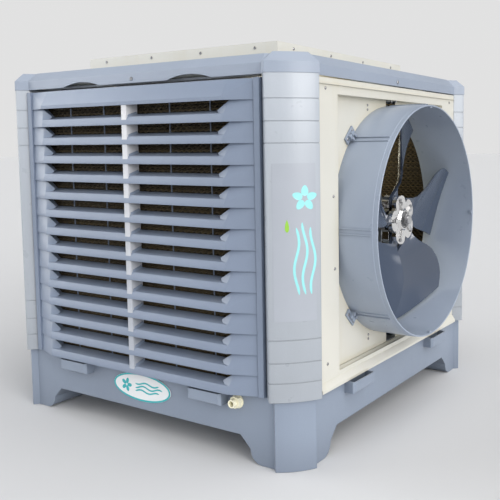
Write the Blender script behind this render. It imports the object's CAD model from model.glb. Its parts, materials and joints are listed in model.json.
import bpy, bmesh, json, math
import numpy as np
from mathutils import Matrix, Vector


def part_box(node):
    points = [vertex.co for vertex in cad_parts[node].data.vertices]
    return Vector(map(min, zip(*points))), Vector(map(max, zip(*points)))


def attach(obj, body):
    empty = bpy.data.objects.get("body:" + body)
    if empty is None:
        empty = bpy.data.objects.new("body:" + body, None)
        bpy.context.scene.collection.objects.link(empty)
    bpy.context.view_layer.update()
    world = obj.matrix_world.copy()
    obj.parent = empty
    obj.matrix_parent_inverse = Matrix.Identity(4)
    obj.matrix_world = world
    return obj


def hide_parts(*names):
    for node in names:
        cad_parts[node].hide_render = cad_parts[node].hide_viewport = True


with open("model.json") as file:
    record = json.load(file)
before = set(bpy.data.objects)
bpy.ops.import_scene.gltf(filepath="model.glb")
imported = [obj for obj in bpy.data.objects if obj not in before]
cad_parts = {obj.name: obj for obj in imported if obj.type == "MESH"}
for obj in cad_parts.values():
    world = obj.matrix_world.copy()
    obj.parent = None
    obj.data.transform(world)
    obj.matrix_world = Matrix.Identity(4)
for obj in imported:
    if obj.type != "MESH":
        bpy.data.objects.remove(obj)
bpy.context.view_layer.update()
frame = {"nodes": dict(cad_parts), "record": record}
nodes = frame["nodes"]
MM = 0.001

# ------------------------------------------------------------------ node material helpers
class NT:
    def __init__(self, name):
        self.m = bpy.data.materials.new(name)
        self.m.use_nodes = True
        self.t = self.m.node_tree
        self.t.nodes.clear()
        self.out = self.t.nodes.new("ShaderNodeOutputMaterial")
        self.b = self.t.nodes.new("ShaderNodeBsdfPrincipled")
        self.link(self.b.outputs[0], self.out.inputs[0])
        self.co = self.n("ShaderNodeTexCoord").outputs["Object"]

    def n(self, kind, **kw):
        x = self.t.nodes.new(kind)
        for k, v in kw.items():
            setattr(x, k, v)
        return x

    def link(self, a, b):
        self.t.links.new(a, b)

    def put(self, sock, v):
        if isinstance(v, bpy.types.NodeSocket):
            self.link(v, sock)
        else:
            sock.default_value = v

    def scaled(self, s, src=None):
        x = self.n("ShaderNodeMapping")
        x.inputs["Scale"].default_value = s
        self.link(src or self.co, x.inputs["Vector"])
        return x.outputs[0]

    def noise(self, scale, detail=3.0, rough=0.5, vec=None, dist=0.0):
        x = self.n("ShaderNodeTexNoise")
        x.inputs["Scale"].default_value = scale
        x.inputs["Detail"].default_value = detail
        x.inputs["Roughness"].default_value = rough
        x.inputs["Distortion"].default_value = dist
        self.link(vec or self.co, x.inputs["Vector"])
        return x.outputs[0]

    def voronoi(self, scale, feature="F1", vec=None, out="Distance"):
        x = self.n("ShaderNodeTexVoronoi", feature=feature)
        x.inputs["Scale"].default_value = scale
        self.link(vec or self.co, x.inputs["Vector"])
        return x.outputs[out]

    def math(self, op, a, b=0.0, c=0.0, clamp=False):
        x = self.n("ShaderNodeMath", operation=op, use_clamp=clamp)
        for s, v in zip(x.inputs, (a, b, c)):
            self.put(s, v)
        return x.outputs[0]

    def ramp(self, v, lo, hi, a=0.0, b=1.0):
        x = self.n("ShaderNodeMapRange")
        for k, q in zip(("Value", "From Min", "From Max", "To Min", "To Max"), (v, lo, hi, a, b)):
            self.put(x.inputs[k], q)
        return x.outputs[0]

    def mix(self, f, a, b, mode="MIX"):
        x = self.n("ShaderNodeMix", data_type="RGBA", blend_type=mode)
        self.put(x.inputs[0], f)
        self.put(x.inputs[6], a if isinstance(a, bpy.types.NodeSocket) else (*a, 1))
        self.put(x.inputs[7], b if isinstance(b, bpy.types.NodeSocket) else (*b, 1))
        return x.outputs[2]

    def bump(self, h, dist, strength=1.0, normal=None):
        x = self.n("ShaderNodeBump")
        x.inputs["Strength"].default_value = strength
        x.inputs["Distance"].default_value = dist
        self.link(h, x.inputs["Height"])
        if normal is not None:
            self.link(normal, x.inputs["Normal"])
        return x.outputs[0]

    def bevel(self, r, samples=4):
        x = self.n("ShaderNodeBevel", samples=samples)
        x.inputs["Radius"].default_value = r
        return x.outputs[0]

    def edge(self, bev, gain=6.0):
        """1 on sharp edges, 0 on flats"""
        g = self.n("ShaderNodeNewGeometry")
        d = self.n("ShaderNodeVectorMath", operation="DOT_PRODUCT")
        self.link(g.outputs["Normal"], d.inputs[0])
        self.link(bev, d.inputs[1])
        return self.math("MULTIPLY", self.math("SUBTRACT", 1.0, d.outputs["Value"]), gain, clamp=True)

    def up(self):
        g = self.n("ShaderNodeNewGeometry")
        s = self.n("ShaderNodeSeparateXYZ")
        self.link(g.outputs["Normal"], s.inputs[0])
        return s.outputs[2]

    def ao(self, d, samples=6):
        x = self.n("ShaderNodeAmbientOcclusion", samples=samples)
        x.inputs["Distance"].default_value = d
        return x.outputs["AO"]


def lin(r, g, b):
    f = lambda c: (c / 255 / 12.92) if c / 255 <= 0.04045 else ((c / 255 + 0.055) / 1.055) ** 2.4
    return (f(r), f(g), f(b))


def plastic(name, col, rough=0.42, grain=0.00006, dust=0.16, wear=0.2, bevel=0.0016, dirt=0.22, coat=0.0, spec=0.5, fade=None, bar=None, reach=0.03):
    k = NT(name)
    bev = k.bevel(bevel)
    big = k.noise(2.2, 3.0)
    fine = k.noise(420.0, 2.0)
    streak = k.noise(1.0, 4.0, 0.6, k.scaled((34.0, 34.0, 1.6)))
    c = tuple(col)
    c0 = k.mix(k.ramp(big, 0.3, 0.7), tuple(x * 0.93 for x in c), tuple(min(1, x * 1.06) for x in c))
    c1 = k.mix(k.math("MULTIPLY", k.ramp(streak, 0.46, 0.72), 0.10), c0, tuple(min(1, x * 1.16 + 0.01) for x in c))
    c2 = k.mix(k.math("MULTIPLY", k.ramp(fine, 0.35, 0.65), 0.10), c1, tuple(x * 0.8 for x in c))
    # pale dust on upward faces and towards the floor
    dn = k.noise(14.0, 5.0, 0.65)
    dm = k.math("MULTIPLY", k.math("MULTIPLY", k.ramp(k.up(), 0.55, 1.0), k.ramp(dn, 0.4, 0.7)), dust, clamp=True)
    c3 = k.mix(dm, c2, (0.62, 0.60, 0.55))
    # edges rubbed lighter, crevices darker
    e = k.math("MULTIPLY", k.edge(bev, 5.0), k.ramp(k.noise(60.0, 4.0), 0.35, 0.65, 0.3, 1.0))
    c4 = k.mix(k.math("MULTIPLY", e, wear, clamp=True), c3, tuple(min(1, x * 1.35 + 0.04) for x in c))
    ao = k.ramp(k.ao(reach, 16 if dirt > 0.3 else 6), 0.25, 0.85, 0.0, 1.0)
    c5 = k.mix(k.math("MULTIPLY", k.math("SUBTRACT", 1.0, ao, clamp=True), dirt), c4, tuple(x * 0.35 for x in c))
    if fade:
        # sun-bleached towards the top
        sp = k.n("ShaderNodeSeparateXYZ")
        k.link(k.co, sp.inputs[0])
        c5 = k.mix(k.ramp(sp.outputs[2], 0.2, 0.93), k.mix(1.0, c5, (fade[0],) * 3, "MULTIPLY"), k.mix(1.0, c5, (fade[1],) * 3, "MULTIPLY"))
    if bar:
        # paler middle bar of a louvred panel: its half width and how far out from the middle of the cabinet it reaches
        p = k.n("ShaderNodeSeparateXYZ")
        k.link(k.co, p.inputs[0])
        ax, ay = (k.math("ABSOLUTE", p.outputs[i]) for i in (0, 1))
        g = k.n("ShaderNodeNewGeometry")
        q = k.n("ShaderNodeSeparateXYZ")
        k.link(g.outputs["True Normal"], q.inputs[0])
        m = [k.math("MULTIPLY", k.math("LESS_THAN", u, bar[0]), k.math("LESS_THAN", v, bar[1])) for u, v in ((ax, ay), (ay, ax))]
        flat = k.math("LESS_THAN", k.math("ABSOLUTE", q.outputs[2]), 0.2)
        m = k.math("MULTIPLY", k.math("MAXIMUM", *m), flat, clamp=True)
        pale = k.mix(k.ramp(p.outputs[2], 0.2, 0.93), (0.40, 0.43, 0.49), (0.70, 0.70, 0.72))
        c5 = k.mix(m, c5, k.mix(k.ramp(streak, 0.4, 0.7, 0.0, 0.2), pale, (0.3, 0.3, 0.3)))
    k.link(c5, k.b.inputs["Base Color"])
    rn = k.ramp(k.noise(30.0, 4.0), 0.3, 0.7, rough - 0.03, rough + 0.05)
    k.link(k.math("ADD", rn, k.math("MULTIPLY", dm, 0.3)), k.b.inputs["Roughness"])
    k.b.inputs["Specular IOR Level"].default_value = spec
    k.b.inputs["Coat Weight"].default_value = coat
    k.b.inputs["Coat Roughness"].default_value = 0.15
    n1 = k.bump(fine, grain, 0.6, bev)
    n2 = k.bump(k.noise(5.0, 1.0), 0.0012, 0.12, n1)
    n3 = k.bump(k.voronoi(260.0), grain * 0.6, 0.4, n2)
    k.link(n3, k.b.inputs["Normal"])
    return k.m


def painted(name, col, rough=0.34, peel=0.00005, dirt=0.5, bevel=0.0012, yellow=(0.62, 0.55, 0.36), wear=0.2):
    k = NT(name)
    bev = k.bevel(bevel)
    peel_n = k.noise(260.0, 2.0)
    big = k.noise(3.0, 3.0)
    c = tuple(col)
    c0 = k.mix(k.ramp(big, 0.3, 0.7), tuple(x * 0.95 for x in c), tuple(min(1, x * 1.03) for x in c))
    smear = k.noise(1.0, 5.0, 0.6, k.scaled((26.0, 26.0, 2.2)))
    c1 = k.mix(k.math("MULTIPLY", k.ramp(smear, 0.5, 0.75), 0.14), c0, yellow)
    ao = k.ramp(k.ao(0.05), 0.2, 0.9, 0.0, 1.0)
    c2 = k.mix(k.math("MULTIPLY", k.math("SUBTRACT", 1.0, ao, clamp=True), dirt), c1, yellow)
    e = k.math("MULTIPLY", k.edge(bev, 4.0), k.ramp(k.noise(90.0, 4.0), 0.5, 0.7))
    c3 = k.mix(k.math("MULTIPLY", e, wear, clamp=True), c2, tuple(x * 0.55 for x in c))
    k.link(c3, k.b.inputs["Base Color"])
    k.link(k.ramp(k.noise(22.0, 4.0), 0.3, 0.7, rough - 0.05, rough + 0.09), k.b.inputs["Roughness"])
    n1 = k.bump(peel_n, peel, 0.7, bev)
    n2 = k.bump(k.noise(3.5, 1.0), 0.002, 0.3, n1)
    k.link(n2, k.b.inputs["Normal"])
    k.b.inputs["Coat Weight"].default_value = 0.12
    k.b.inputs["Coat Roughness"].default_value = 0.2
    return k.m


def metal(name, col, rough=0.25, brushed=None, spangle=False, lump=0.0, lump_scale=70.0, tint=0.12, bevel=0.0008, metallic=1.0):
    k = NT(name)
    bev = k.bevel(bevel)
    c = tuple(col)
    n0 = k.noise(18.0, 5.0, 0.6)
    c0 = k.mix(k.math("MULTIPLY", k.ramp(n0, 0.35, 0.7), tint), c, tuple(x * 0.45 for x in c))
    if spangle:
        v = k.voronoi(95.0, out="Color")
        s = k.n("ShaderNodeSeparateColor")
        k.link(v, s.inputs[0])
        c0 = k.mix(k.math("MULTIPLY", s.outputs[0], 0.30), c0, tuple(min(1, x * 1.35) for x in c))
        rr = k.ramp(s.outputs[1], 0, 1, rough - 0.08, rough + 0.14)
    else:
        rr = k.ramp(k.noise(40.0, 4.0), 0.3, 0.7, max(0.03, rough - 0.05), rough + 0.08)
    ao = k.ramp(k.ao(0.012), 0.2, 0.85, 0.0, 1.0)
    c1 = k.mix(k.math("MULTIPLY", k.math("SUBTRACT", 1.0, ao, clamp=True), 0.55), c0, tuple(x * 0.15 for x in c))
    k.link(c1, k.b.inputs["Base Color"])
    k.link(rr, k.b.inputs["Roughness"])
    k.b.inputs["Metallic"].default_value = metallic
    nrm = bev
    if brushed:
        nrm = k.bump(k.noise(1.0, 3.0, 0.6, k.scaled(brushed)), 0.00003, 0.6, nrm)
    if lump:
        nrm = k.bump(k.noise(lump_scale, 2.0, 0.5, dist=0.8), lump, 1.0, nrm)
    nrm = k.bump(k.noise(700.0, 2.0), 0.00002, 0.5, nrm)
    k.link(nrm, k.b.inputs["Normal"])
    return k.m


def pad_paper(name):
    k = NT(name)
    a = k.n("ShaderNodeAttribute", attribute_name="tone").outputs["Fac"]
    n1 = k.noise(9.0, 5.0, 0.65)
    fib = k.noise(1.0, 3.0, 0.6, k.scaled((900.0, 900.0, 260.0)))
    c0 = k.mix(k.ramp(n1, 0.3, 0.72), (0.042, 0.030, 0.015), (0.12, 0.088, 0.038))
    c1 = k.mix(k.math("MULTIPLY", a, 0.5), c0, (0.16, 0.118, 0.044))
    c2 = k.mix(k.math("MULTIPLY", k.ramp(fib, 0.4, 0.7), 0.35), c1, (0.055, 0.036, 0.02))
    scale_n = k.noise(26.0, 6.0, 0.7)
    c3 = k.mix(k.math("MULTIPLY", k.ramp(scale_n, 0.62, 0.8), 0.22), c2, (0.20, 0.185, 0.15))
    k.link(c3, k.b.inputs["Base Color"])
    k.link(k.ramp(n1, 0.3, 0.7, 0.62, 0.9), k.b.inputs["Roughness"])
    k.link(k.bump(fib, 0.0002, 0.8), k.b.inputs["Normal"])
    k.b.inputs["Sheen Weight"].default_value = 0.15
    return k.m


def film(name, col, rough=0.22, coat=0.6):
    k = NT(name)
    c = tuple(col)
    n = k.noise(12.0, 4.0)
    c0 = k.mix(k.ramp(n, 0.2, 0.8), tuple(x * 0.98 for x in c), tuple(min(1, x * 1.02) for x in c))
    sc = k.noise(1.0, 5.0, 0.7, k.scaled((60.0, 60.0, 300.0)))
    c1 = k.mix(k.math("MULTIPLY", k.ramp(sc, 0.45, 0.75), 0.06), c0, tuple(x * 0.8 for x in c))
    k.link(c1, k.b.inputs["Base Color"])
    k.link(k.ramp(n, 0.2, 0.8, rough - 0.01, rough + 0.03), k.b.inputs["Roughness"])
    k.b.inputs["Coat Weight"].default_value = coat
    k.b.inputs["Coat Roughness"].default_value = 0.08
    k.link(k.bump(k.noise(220.0, 2.0), 0.00003, 0.4, k.bevel(0.0005)), k.b.inputs["Normal"])
    return k.m


def rubber(name, col=(0.02, 0.02, 0.022)):
    return plastic(name, col, rough=0.6, grain=0.0001, dust=0.3, wear=0.2, bevel=0.0006, spec=0.35)


M = {}
M["cabinet"] = plastic("cabinet_plastic", lin(138, 149, 166), rough=0.36, dust=0.08, dirt=0.5, reach=0.16)
M["post"] = plastic("post_plastic", lin(174, 180, 188), rough=0.30, dust=0.05, wear=0.12, coat=0.12, fade=(0.82, 1.12))
M["cover"] = plastic("cover_plastic", lin(154, 164, 180), rough=0.36, dust=0.08)
M["louvre"] = plastic("louvre_plastic", lin(130, 142, 162), rough=0.36, dust=0.10, dirt=0.04, wear=0.12, bar=(0.0093, 0.5532))
M["cream"] = painted("cream_sheet", lin(217, 215, 206), dirt=0.55)
M["screw"] = metal("screw_steel", (0.42, 0.42, 0.43), rough=0.28, tint=0.4)
M["galv"] = metal("galvanised", (0.55, 0.57, 0.58), rough=0.38, spangle=True)
M["motor"] = painted("motor_iron", (0.035, 0.042, 0.052), rough=0.42, peel=0.00012, yellow=(0.08, 0.07, 0.06), wear=0.5)
M["bright"] = metal("bright_steel", (0.56, 0.56, 0.57), rough=0.2, brushed=(2200.0, 60.0, 60.0))
M["hub"] = metal("cast_hub", (0.86, 0.85, 0.84), rough=0.11, lump=0.0026, lump_scale=24.0, tint=0.2)
M["blade"] = plastic("blade_plastic", lin(68, 79, 98), rough=0.17, grain=0.00002, dust=0.0, wear=0.0, bevel=0.0006, dirt=0.12, coat=0.5, spec=0.7)
M["pad"] = pad_paper("pad_paper")
M["white"] = plastic("white_pipe", lin(226, 228, 224), rough=0.28, grain=0.00002, dust=0.2)
M["spread"] = plastic("spreader_plastic", lin(196, 202, 210), rough=0.4)
M["pump"] = plastic("pump_plastic", lin(40, 44, 52), rough=0.38)
M["creamp"] = plastic("cream_plastic", lin(246, 241, 214), rough=0.26, grain=0.00003, dust=0.05, wear=0.1, dirt=0.12)
M["float"] = plastic("float_plastic", lin(196, 92, 40), rough=0.32)
M["red"] = plastic("red_plastic", lin(176, 34, 28), rough=0.3)
M["box"] = painted("box_steel", lin(190, 192, 195), rough=0.36, yellow=(0.4, 0.38, 0.33))
M["badge"] = film("badge_film", (0.86, 0.88, 0.89), rough=0.2)
M["decal"] = film("decal_film", lin(169, 174, 183), rough=0.3, coat=0.1)
M["teal"] = film("teal_print", lin(34, 178, 184), rough=0.3)
M["turq"] = film("turquoise_print", lin(150, 224, 226), rough=0.3)
M["leaf"] = film("green_print", lin(150, 204, 60), rough=0.3)
M["cable"] = rubber("cable_rubber")
M["collar"] = plastic("collar_plastic", lin(156, 167, 184), rough=0.30, dust=0.04, wear=0.05, dirt=0.4, coat=0.1)

SLOT = {"cabinet_plastic": "cabinet", "louvre_plastic": "louvre", "cream_sheet": "cream", "screw_steel": "screw",
        "galvanised": "galv", "motor_iron": "motor", "bright_steel": "bright", "cast_hub": "hub", "blade_plastic": "blade",
        "pad_paper": "pad", "white_pipe": "white", "spreader_plastic": "spread", "pump_plastic": "pump",
        "cream_plastic": "creamp", "float_plastic": "float", "red_plastic": "red", "box_steel": "box",
        "badge_film": "badge", "decal_film": "decal"}
slot_of = {s["node"]: s["material_slot"] for s in frame["record"]["subparts"]}


def dress(o, mat, bevel=0.0, angle=35.0, split=True):
    me = o.data
    me.materials.clear()
    me.materials.append(mat)
    a = me.attributes.get("custom_normal")
    if a is not None:
        me.attributes.remove(a)
    me.polygons.foreach_set("use_smooth", np.ones(len(me.polygons), bool))
    w = o.modifiers.new("weld", "WELD")
    w.merge_threshold = 2e-5
    if bevel > 0:
        d = o.modifiers.new("planar", "DECIMATE")
        d.decimate_type = "DISSOLVE"
        d.angle_limit = math.radians(1.5)
        v = o.modifiers.new("bevel", "BEVEL")
        v.width = bevel
        v.segments = 2
        v.limit_method = "ANGLE"
        v.angle_limit = math.radians(38)
        v.miter_outer = "MITER_ARC"
        v.use_clamp_overlap = True
        v.harden_normals = True
    if split:
        s = o.modifiers.new("split", "EDGE_SPLIT")
        s.split_angle = math.radians(angle)
        s.use_edge_sharp = False


BEVEL = {"base_tray": 0.0015, "top_cover": 0.0015, "top_plate": 0.001, "oval_badge": 0.0006}
for name, o in nodes.items():
    key = "collar" if name in ("discharge_collar", "collar_clips") else "post" if name.startswith("post_") and name != "post_decal" else "cover" if name == "top_cover" else SLOT[slot_of[name]]
    dress(o, M[key], angle=60 if name.startswith("fan_blade") else 30)


# ------------------------------------------------------------------ mesh helpers
def mesh_obj(name, verts, faces, mat, body, smooth=False, angle=35.0):
    me = bpy.data.meshes.new(name)
    me.from_pydata([tuple(v) for v in verts], [], [tuple(f) for f in faces])
    me.validate()
    o = bpy.data.objects.new(name, me)
    bpy.context.scene.collection.objects.link(o)
    me.materials.append(mat)
    if smooth:
        me.polygons.foreach_set("use_smooth", np.ones(len(me.polygons), bool))
        s = o.modifiers.new("split", "EDGE_SPLIT")
        s.split_angle = math.radians(angle)
        s.use_edge_sharp = False
    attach(o, body)
    return o


def prism(outline, mapper, h0, h1):
    """closed flat piece: outline is a ring of 2D points; mapper(p, h) gives the 3D point"""
    n = len(outline)
    v = [mapper(p, h0) for p in outline] + [mapper(p, h1) for p in outline]
    f = [tuple(range(n, 2 * n)), tuple(range(n - 1, -1, -1))]
    f += [(i, (i + 1) % n, n + (i + 1) % n, n + i) for i in range(n)]
    return v, f


def band(a, b, mapper, h0, h1, closed=True):
    """closed strip between two rows of 2D points of equal length"""
    n = len(a)
    v = []
    for h in (h0, h1):
        v += [mapper(p, h) for p in a] + [mapper(p, h) for p in b]
    f = []
    m = n if closed else n - 1
    for i in range(m):
        j = (i + 1) % n
        f.append((2 * n + i, 2 * n + j, 3 * n + j, 3 * n + i))
        f.append((i, n + i, n + j, j))
        f.append((i, j, 2 * n + j, 2 * n + i))
        f.append((n + i, 3 * n + i, 3 * n + j, n + j))
    if not closed:
        f.append((0, 2 * n, 3 * n, n))
        f.append((n - 1, 2 * n - 1, 4 * n - 1, 3 * n - 1))
    return v, f


def ribbon(path, width, mapper, h0, h1, taper=True):
    p = np.array(path, float)
    t = np.gradient(p, axis=0)
    t /= np.linalg.norm(t, axis=1)[:, None]
    nrm = np.stack([-t[:, 1], t[:, 0]], 1)
    s = np.linspace(0, 1, len(p))
    w = width / 2 * (np.minimum(1, np.sqrt(np.clip(np.minimum(s, 1 - s) * 14, 0.02, 1))) if taper else np.ones(len(p)))
    return band(p + nrm * w[:, None], p - nrm * w[:, None], mapper, h0, h1, closed=False)


def join(parts):
    V, F = [], []
    for v, f in parts:
        k = len(V)
        V += list(v)
        F += [tuple(i + k for i in q) for q in f]
    return V, F


def tube(name, pts, r, mat, body, res=14):
    """swept tube through smooth points, closed at both ends"""
    P = np.array(pts, float)
    n = len(P)
    t = np.linspace(0, n - 1, (n - 1) * 14 + 1)
    out = []
    for q in t:
        i = min(int(q), n - 2)
        u = q - i
        p0, p1, p2, p3 = P[max(i - 1, 0)], P[i], P[i + 1], P[min(i + 2, n - 1)]
        out.append(0.5 * ((2 * p1) + (-p0 + p2) * u + (2 * p0 - 5 * p1 + 4 * p2 - p3) * u * u + (-p0 + 3 * p1 - 3 * p2 + p3) * u ** 3))
    C = np.array(out)
    T = np.gradient(C, axis=0)
    T /= np.linalg.norm(T, axis=1)[:, None]
    up = np.array([0.13, 0.21, 0.97])
    V, F = [], []
    for c, d in zip(C, T):
        a = np.cross(d, up)
        a /= np.linalg.norm(a)
        b = np.cross(d, a)
        for k in range(res):
            w = 2 * math.pi * k / res
            V.append(c + r * (a * math.cos(w) + b * math.sin(w)))
    m = len(C)
    for i in range(m - 1):
        for k in range(res):
            F.append((i * res + k, i * res + (k + 1) % res, (i + 1) * res + (k + 1) % res, (i + 1) * res + k))
    F.append(tuple(range(res - 1, -1, -1)))
    F.append(tuple((m - 1) * res + k for k in range(res)))
    return mesh_obj(name, V, F, mat, body, smooth=True)


# ------------------------------------------------------------------ wet pads: stacked fluted sheets
def pad_arrays():
    lo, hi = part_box("pad_front")
    lo, hi = np.array(lo) / MM, np.array(hi) / MM
    pitch, amp, th, tilt = 8.6, 2.7, 0.9, 0.27
    x = np.arange(lo[0] + 1.0, hi[0] - 0.5, 3.15)
    ys = np.linspace(lo[1] + 0.3, hi[1] - 0.3, 4)
    ym = (lo[1] + hi[1]) / 2
    half = tilt * (hi[1] - lo[1]) / 2 + amp + th
    zc = np.arange(lo[2] + half + 0.5, hi[2] - half - 0.5, pitch)
    rng = np.random.default_rng(7)
    V, F, tone = [], [], []
    base = 0
    nx, ny = len(x), len(ys)
    for k, z0 in enumerate(zc):
        s = 1 if k % 2 else -1
        X, Y = np.meshgrid(x, ys)
        ph = rng.uniform(-0.25, 0.25)
        Z = z0 + amp * np.sin(2 * np.pi * (X + s * (Y - ym) * 0.28) / 19.0 + ph + (0 if k % 2 else np.pi)) + tilt * (Y - ym)
        Z += rng.uniform(-0.35, 0.35)
        top = np.stack([X, Y, Z + th / 2], -1).reshape(-1, 3)
        bot = np.stack([X, Y, Z - th / 2], -1).reshape(-1, 3)
        V.append(top)
        V.append(bot)
        m = nx * ny
        idx = np.arange(m).reshape(ny, nx) + base
        a, b, c, d = idx[:-1, :-1], idx[:-1, 1:], idx[1:, 1:], idx[1:, :-1]
        F.append(np.stack([a, b, c, d], -1).reshape(-1, 4))
        F.append(np.stack([a + m, d + m, c + m, b + m], -1).reshape(-1, 4))
        for e, flip in ((idx[0, :], False), (idx[-1, :], True), (idx[:, 0], True), (idx[:, -1], False)):
            q = np.stack([e[:-1], e[:-1] + m, e[1:] + m, e[1:]], -1)
            F.append(q[:, ::-1] if flip else q)
        tone.append(np.full(2 * m, rng.uniform(0, 1)))
        base += 2 * m
    return np.concatenate(V), np.concatenate(F), np.concatenate(tone)


PV, PF, PT = pad_arrays()
for nm, ang in (("front", 0), ("left", -90), ("back", 180)):
    c, s = round(math.cos(math.radians(ang))), round(math.sin(math.radians(ang)))
    R = np.array([[c, -s, 0], [s, c, 0], [0, 0, 1.0]])
    v = (PV @ R.T) * MM
    me = bpy.data.meshes.new("pad_sheets_" + nm)
    me.vertices.add(len(v))
    me.vertices.foreach_set("co", v.astype(np.float32).ravel())
    me.loops.add(len(PF) * 4)
    me.loops.foreach_set("vertex_index", PF.astype(np.int32).ravel())
    me.polygons.add(len(PF))
    me.polygons.foreach_set("loop_start", np.arange(0, len(PF) * 4, 4, dtype=np.int32))
    me.update(calc_edges=True)
    at = me.attributes.new("tone", "FLOAT", "POINT")
    at.data.foreach_set("value", PT.astype(np.float32))
    me.materials.append(M["pad"])
    o = bpy.data.objects.new("pad_sheets_" + nm, me)
    bpy.context.scene.collection.objects.link(o)
    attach(o, nm + "_panel")
    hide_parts("pad_" + nm)


# ------------------------------------------------------------------ badge print (generic motif)
blo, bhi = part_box("oval_badge")
bz, by = (blo.z + bhi.z) / 2 / MM, blo.y / MM


def on_badge(p, h):
    return (p[0] * MM, (by - h) * MM, (bz + p[1]) * MM)


tt = np.linspace(0, 2 * math.pi, 97)[:-1]
ell = lambda a, b: np.stack([a * np.cos(tt), b * np.sin(tt)], 1)
v, f = join([band(ell(107.4, 38.6), ell(101.8, 33.6), on_badge, -0.3, 0.35)])
mesh_obj("badge_ring", v, f, M["teal"], "cabinet")
parts = []
for q, (dz, amp) in enumerate(((10.5, 3.2), (0.0, 3.6), (-10.5, 3.2))):
    xs = np.linspace(-24, 78 - abs(dz) * 1.2, 60)
    parts.append(ribbon(np.stack([xs, dz + amp * np.sin((xs + q * 9) / 9.5)], 1), 4.2, on_badge, -0.3, 0.35))
v, f = join(parts)
mesh_obj("badge_waves", v, f, M["teal"], "cabinet")
parts = []
for k in range(5):
    a0 = 2 * math.pi * k / 5
    leaf = []
    for s in np.linspace(0, 2 * math.pi, 25)[:-1]:
        r, w = 11.5 + 8.5 * math.cos(s), 5.2 * math.sin(s)
        leaf.append((-58 + r * math.cos(a0) - w * math.sin(a0), r * math.sin(a0) + w * math.cos(a0)))
    parts.append(prism(leaf, on_badge, -0.3, 0.35))
v, f = join(parts)
mesh_obj("badge_rosette", v, f, M["teal"], "cabinet")

# ------------------------------------------------------------------ post film print (generic motif)
PU, PW, PS = 707.7, 130.0, 9.0
PR = (PW * PW / 4 + PS * PS) / (2 * PS)


def on_post(p, h):
    a = p[0] / PR
    u = PU + PS - PR + (PR + 0.5 + h) * math.cos(a)
    w = (PR + 0.5 + h) * math.sin(a)
    return ((u + w) / math.sqrt(2) * MM, (w - u) / math.sqrt(2) * MM, p[1] * MM)


parts = []
for q, v0 in enumerate((4.0, 24.0, 44.0)):
    zs = np.linspace(436, 596 + 12 * (q == 1), 90)
    parts.append(ribbon(np.stack([v0 + 6.0 * np.sin((zs + 20 * q) / 21.0), zs], 1), 6.4, on_post, -0.2, 0.22))
for k in range(5):
    a0 = 2 * math.pi * k / 5 + 0.3
    leaf = []
    for s in np.linspace(0, 2 * math.pi, 31)[:-1]:
        r, w = 18.5 + 12.5 * math.cos(s), 7.6 * math.sin(s) * (1.15 - 0.25 * math.cos(s))
        leaf.append((25 + r * math.cos(a0) - w * math.sin(a0), 664 + r * math.sin(a0) + w * math.cos(a0)))
    parts.append(prism(leaf, on_post, -0.2, 0.22))
v, f = join(parts)
mesh_obj("post_print", v, f, M["turq"], "cabinet")
drop = []
for s in np.linspace(0, 2 * math.pi, 41)[:-1]:
    drop.append((-18 + 6.5 * math.sin(s) * math.sin(s / 2) ** 1.0, 600 + 15 * math.cos(s)))
v, f = prism(drop, on_post, -0.2, 0.22)
mesh_obj("post_print_drop", v, f, M["leaf"], "cabinet")

# ------------------------------------------------------------------ cables
tube("motor_cable", [(0.302, 0, 0.672), (0.262, -0.002, 0.676), (0.20, -0.03, 0.70), (0.14, -0.03, 0.78), (0.104, -0.008, 0.845), (0.100, 0.0, 0.8712)], 0.0042, M["cable"], "cabinet")
tube("pump_cable", [(-0.342, 0.204, 0.188), (-0.338, 0.212, 0.25), (-0.330, 0.22, 0.45), (-0.325, 0.21, 0.70), (-0.28, 0.18, 0.85), (-0.12, 0.12, 0.84), (0.04, 0.07, 0.82), (0.098, 0.06, 0.84), (0.100, 0.06, 0.8712)], 0.0036, M["cable"], "cabinet")

# ------------------------------------------------------------------ stage
fl = bpy.data.meshes.new("stage_floor")
fl.from_pydata([(x, y, -0.0004) for x, y in ((-60, -60), (60, -60), (60, 60), (-60, 60))], [], [(0, 1, 2, 3)])
floor = bpy.data.objects.new("stage_floor", fl)
bpy.context.scene.collection.objects.link(floor)
k = NT("stage_floor")
k.link(k.mix(k.math("MULTIPLY", k.noise(240.0, 3.0), 0.06), (0.675, 0.675, 0.68), (0.60, 0.60, 0.605)), k.b.inputs["Base Color"])
k.b.inputs["Roughness"].default_value = 0.9
k.b.inputs["Specular IOR Level"].default_value = 0.1
fl.materials.append(k.m)

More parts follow.
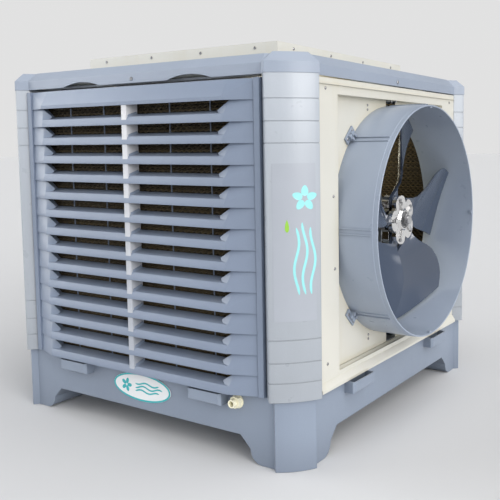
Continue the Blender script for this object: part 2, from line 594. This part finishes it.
world = bpy.data.worlds.new("studio")
bpy.context.scene.world = world
world.use_nodes = True
wn = world.node_tree.nodes
wn.clear()
wo = wn.new("ShaderNodeOutputWorld")
wb = wn.new("ShaderNodeBackground")
wb.inputs[0].default_value = (0.95, 0.97, 1.0, 1)
wb.inputs[1].default_value = 0.27
wc = wn.new("ShaderNodeBackground")
wc.inputs[0].default_value = (1, 1, 1, 1)
wc.inputs[1].default_value = 0.755
wm = wn.new("ShaderNodeMixShader")
wp = wn.new("ShaderNodeLightPath")
wl = world.node_tree.links
wl.new(wp.outputs["Is Camera Ray"], wm.inputs[0])
wl.new(wb.outputs[0], wm.inputs[1])
wl.new(wc.outputs[0], wm.inputs[2])
wl.new(wm.outputs[0], wo.inputs[0])


def sun(name, frm, strength, spread, col=(1, 1, 1)):
    l = bpy.data.lights.new(name, "SUN")
    l.energy = strength
    l.angle = math.radians(spread)
    l.color = col
    o = bpy.data.objects.new(name, l)
    o.rotation_euler = Vector(frm).to_track_quat("Z", "Y").to_euler()
    bpy.context.scene.collection.objects.link(o)
    return o


sun("key", (1.0, -0.42, 0.30), 1.75, 34, (1.0, 0.99, 0.975))
sun("left", (-1.0, -0.32, 0.25), 2.0, 50, (0.97, 0.985, 1.0))
sun("front", (0.1, -1.0, 0.42), 0.42, 50, (0.97, 0.985, 1.0))
sun("top", (0.55, 0.0, 1.0), 1.75, 70, (1, 1, 1))
inside = bpy.data.lights.new("inside", "POINT")
inside.energy = 5.0
inside.shadow_soft_size = 0.12
inside.color = (1.0, 0.93, 0.74)
io = bpy.data.objects.new("inside", inside)
io.location = (0.04, 0.14, 0.76)
bpy.context.scene.collection.objects.link(io)

# ------------------------------------------------------------------ camera at the photograph's viewing angle
cam = bpy.data.cameras.new("camera")
cam.sensor_width = 36.0
cam.lens = 720.97 * 36.0 / 500.0
cam.shift_x = (250 - 335.91) / 500.0
cam.shift_y = (209.51 - 250) / 500.0
cam.clip_end = 60
co = bpy.data.objects.new("camera", cam)
bpy.context.scene.collection.objects.link(co)
az, el, roll = math.radians(31.401), math.radians(5.090), math.radians(-0.422)
back = Vector((math.sin(az) * math.cos(el), -math.cos(az) * math.cos(el), math.sin(el)))
fwd = -back
right = fwd.cross(Vector((0, 0, 1))).normalized()
up = right.cross(fwd)
r2 = right * math.cos(roll) + up * math.sin(roll)
u2 = -right * math.sin(roll) + up * math.cos(roll)
mw = Matrix((r2, u2, back)).transposed().to_4x4()
mw.translation = Vector((1.462, -1.8857, 0.7871))
co.matrix_world = mw
bpy.context.scene.camera = co
bpy.context.scene.view_settings.view_transform = "Standard"
bpy.context.scene.view_settings.look = "None"

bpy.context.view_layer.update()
